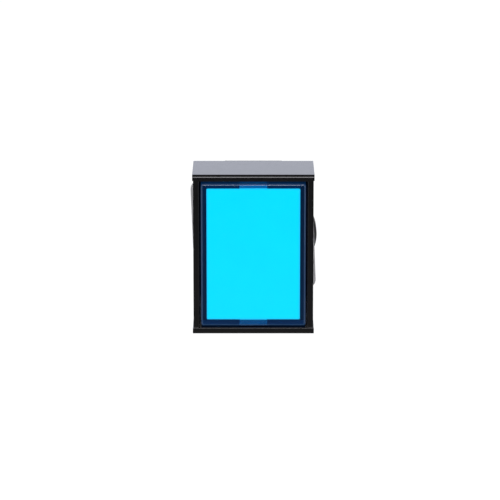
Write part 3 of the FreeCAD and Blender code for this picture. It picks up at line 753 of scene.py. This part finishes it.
def hang(item: bpy.types.Object, target: Vector, turn: float, rise: float, distance: float) -> None:
    """Put a light or the camera in the room, facing the switch.

    Args:
        item: what is hung.
        target: the point that it faces.
        turn: degrees around the switch, from its front.
        rise: degrees above the level.
        distance: metres from the target.
    """
    around, up = math.radians(turn), math.radians(rise)
    level = math.cos(up)
    away = Vector((-math.sin(around) * level, -math.cos(around) * level, math.sin(up)))
    item.location = target + away * distance
    item.rotation_euler = (-away).to_track_quat("-Z", "Y").to_euler()
    bpy.context.scene.collection.objects.link(item)


@dataclass(frozen=True)
class SoftLight:
    """A flat studio light that faces the switch."""

    name: str
    turn: float
    rise: float
    distance: float
    size: Span
    radiance: Colour
    shows_in_gloss: bool = True

    def build(self, target: Vector) -> None:
        """Hang the light.

        Args:
            target: the point that it faces.
        """
        lamp = bpy.data.lights.new(self.name, "AREA")
        lamp.shape = "RECTANGLE"
        lamp.size, lamp.size_y = self.size
        peak = max(self.radiance)
        lamp.color = tuple(part / peak for part in self.radiance)
        lamp.energy = peak * math.pi * self.size[0] * self.size[1]
        item = bpy.data.objects.new(self.name, lamp)
        item.visible_camera = False
        item.visible_glossy = self.shows_in_gloss
        hang(item, target, self.turn, self.rise, self.distance)


@dataclass
class Studio:
    """White floor and backdrop, soft lights and the camera."""

    lip_mm: float = -11.2
    rise: float = 13.63
    distance_mm: float = 427.0
    focal_px: float = 2873.8
    frame_px: float = 500.0
    centre_px: Span = (253.33, 255.18)
    sensor_mm: float = 36.0
    clip_m: float = 0.01
    floor_mm: float = -110.0
    floor_half_m: float = 4.0
    floor_tones: tuple[Colour, Colour] = ((0.3, 0.3, 0.3), (0.31, 0.31, 0.31))
    floor_cloud_mm: float = 60.0
    floor_glow: float = 0.85
    near_m: Span = (-0.58, -0.34)
    behind_m: Span = (-0.05, 0.1)
    beside_m: Span = (0.2, 0.3)
    ambient_level: float = 0.5
    dark_level: float = 0.04
    near_level: float = 0.16
    backdrop_level: float = 1.0
    backdrop_turn: Span = (-0.05, 0.15)
    backdrop_rise: Span = (0.5, 0.58)
    lights: tuple[SoftLight, ...] = (
        SoftLight("front_softbox", turn=0.0, rise=22.0, distance=0.7, size=(0.5, 0.35),
                  radiance=(5.8, 5.7, 6.0)),
        SoftLight("back_strip", turn=180.0, rise=13.0, distance=1.2, size=(1.2, 0.5),
                  radiance=(0.135, 0.18, 0.36)),
        SoftLight("top_softbox", turn=0.0, rise=78.0, distance=0.8, size=(0.6, 0.6),
                  radiance=(1.2, 1.2, 1.2), shows_in_gloss=False),
    )

    @staticmethod
    def rays(sheet: NodeSheet) -> tuple[Socket, Socket]:
        """Tell apart who looks at the floor or the room.

        Args:
            sheet: the node tree of the floor or the room.

        Returns:
            Outputs that are 1 for the eye, also through clear plastic, and 1 for gloss.
        """
        path = sheet.add("ShaderNodeLightPath", {}).outputs
        seen = sheet.math("MAXIMUM", path["Is Camera Ray"], path["Is Transmission Ray"])
        return seen, path["Is Glossy Ray"]

    def build_world(self) -> None:
        """White for the eye, a bright backdrop and a dark room in gloss, an even level elsewhere."""
        world = bpy.data.worlds.new("studio")
        bpy.context.scene.world = world
        world.use_nodes = True
        sheet = NodeSheet(world.node_tree)
        way = sheet.split(sheet.add("ShaderNodeTexCoord", {}).outputs["Generated"])
        behind = sheet.scaled(way["Y"], self.backdrop_turn)
        low = sheet.scaled(way["Z"], self.backdrop_rise, (1.0, 0.0))
        shown = sheet.math("MULTIPLY", behind, low)
        card = sheet.scaled(shown, UNIT, (self.dark_level, self.backdrop_level))
        seen, gloss = self.rays(sheet)
        plain = sheet.scaled(seen, UNIT, (self.ambient_level, 1.0))
        in_gloss = sheet.math("MULTIPLY", gloss, card)
        elsewhere = sheet.math("MULTIPLY", sheet.math("SUBTRACT", 1.0, gloss), plain)
        level = sheet.math("ADD", in_gloss, elsewhere)
        colour = sheet.add("ShaderNodeBackground", {"Color": WHITE, "Strength": level})
        sheet.add("ShaderNodeOutputWorld", {"Surface": colour.outputs[0]})

    def floor_finish(self) -> Material:
        """White for the eye, a bright sweep behind and beside the switch in gloss, pale grey elsewhere.

        Returns:
            The floor's material.
        """
        sheet = SurfaceSheet("floor_white")
        first, second = self.floor_tones
        tone = sheet.blend(sheet.noise(self.floor_cloud_mm), shade(first), shade(second))
        matt = sheet.add("ShaderNodeBsdfDiffuse", {"Color": tone})
        seen, gloss = self.rays(sheet)
        level = sheet.math("MULTIPLY", seen, self.floor_glow)
        glow = sheet.add("ShaderNodeEmission", {"Color": WHITE, "Strength": level})
        plain = sheet.add("ShaderNodeAddShader", {0: matt.outputs[0], 1: glow.outputs[0]})
        place = sheet.split(sheet.place)
        near = sheet.scaled(place["Y"], self.near_m, (self.dark_level, self.near_level))
        behind = sheet.scaled(place["Y"], self.behind_m, (0.0, self.backdrop_level))
        aside = sheet.math("ABSOLUTE", place["X"])
        beside = sheet.scaled(aside, self.beside_m, (0.0, self.backdrop_level))
        sweep = sheet.math("MAXIMUM", near, sheet.math("MAXIMUM", behind, beside))
        card = sheet.add("ShaderNodeEmission", {"Color": WHITE, "Strength": sweep})
        mixed = sheet.add("ShaderNodeMixShader", {0: gloss, 1: plain.outputs[0], 2: card.outputs[0]})
        sheet.tree.links.new(mixed.outputs[0], sheet.output.inputs["Surface"])
        return sheet.material

    def build_floor(self) -> None:
        """A pale floor below the switch that reads as white and keeps its shadow."""
        mesh = bpy.data.meshes.new("floor")
        half = self.floor_half_m
        outline = ((-half, -half), (half, -half), (half, half), (-half, half))
        mesh.from_pydata([(x, y, self.floor_mm * MM) for x, y in outline], [], [(0, 1, 2, 3)])
        mesh.materials.append(self.floor_finish())
        floor = bpy.data.objects.new("floor", mesh)
        bpy.context.scene.collection.objects.link(floor)

    def build_camera(self, target: Vector) -> None:
        """A long lens, a little above the middle of the button.

        Args:
            target: the point that it faces.
        """
        data = bpy.data.cameras.new("camera")
        data.sensor_width = self.sensor_mm
        data.lens = self.focal_px * self.sensor_mm / self.frame_px
        middle = self.frame_px / 2
        data.shift_x = (middle - self.centre_px[0]) / self.frame_px
        data.shift_y = (self.centre_px[1] - middle) / self.frame_px
        data.clip_start = self.clip_m
        camera = bpy.data.objects.new("camera", data)
        hang(camera, target, 0.0, self.rise, self.distance_mm * MM)
        bpy.context.scene.camera = camera

    def build(self) -> None:
        """Set up the room, the lights and the camera."""
        bpy.context.scene.view_settings.view_transform = "Standard"
        self.build_world()
        self.build_floor()
        target = Vector((0.0, self.lip_mm * MM, 0.0))
        for light in self.lights:
            light.build(target)
        self.build_camera(target)


def main() -> None:
    """Build the room and dress the switch from front to rear."""
    logging.basicConfig(level=logging.INFO, format="%(message)s")
    palette = Palette()
    Studio().build()
    FrontButton(
        CoilSpring("return_spring", "housing", anchor_mm=10.0, keep=0.54, centre_mm=0.0, coil_mm=4.95,
                   wire_mm=0.25, turns=4.5),
    ).dress(palette)
    PanelFixings().dress(palette)
    ContactUnit((
        CoilSpring("open_contact_spring", "open_contact", anchor_mm=19.1, keep=0.5, centre_mm=5.0,
                   coil_mm=0.95, wire_mm=0.18, turns=3.0),
        CoilSpring("closed_contact_spring", "housing", anchor_mm=25.5, keep=0.666, centre_mm=-5.0,
                   coil_mm=0.95, wire_mm=0.18, turns=7.0),
    )).dress(palette)
    LampUnit().dress(palette)


if __name__ == "__main__":
    main()
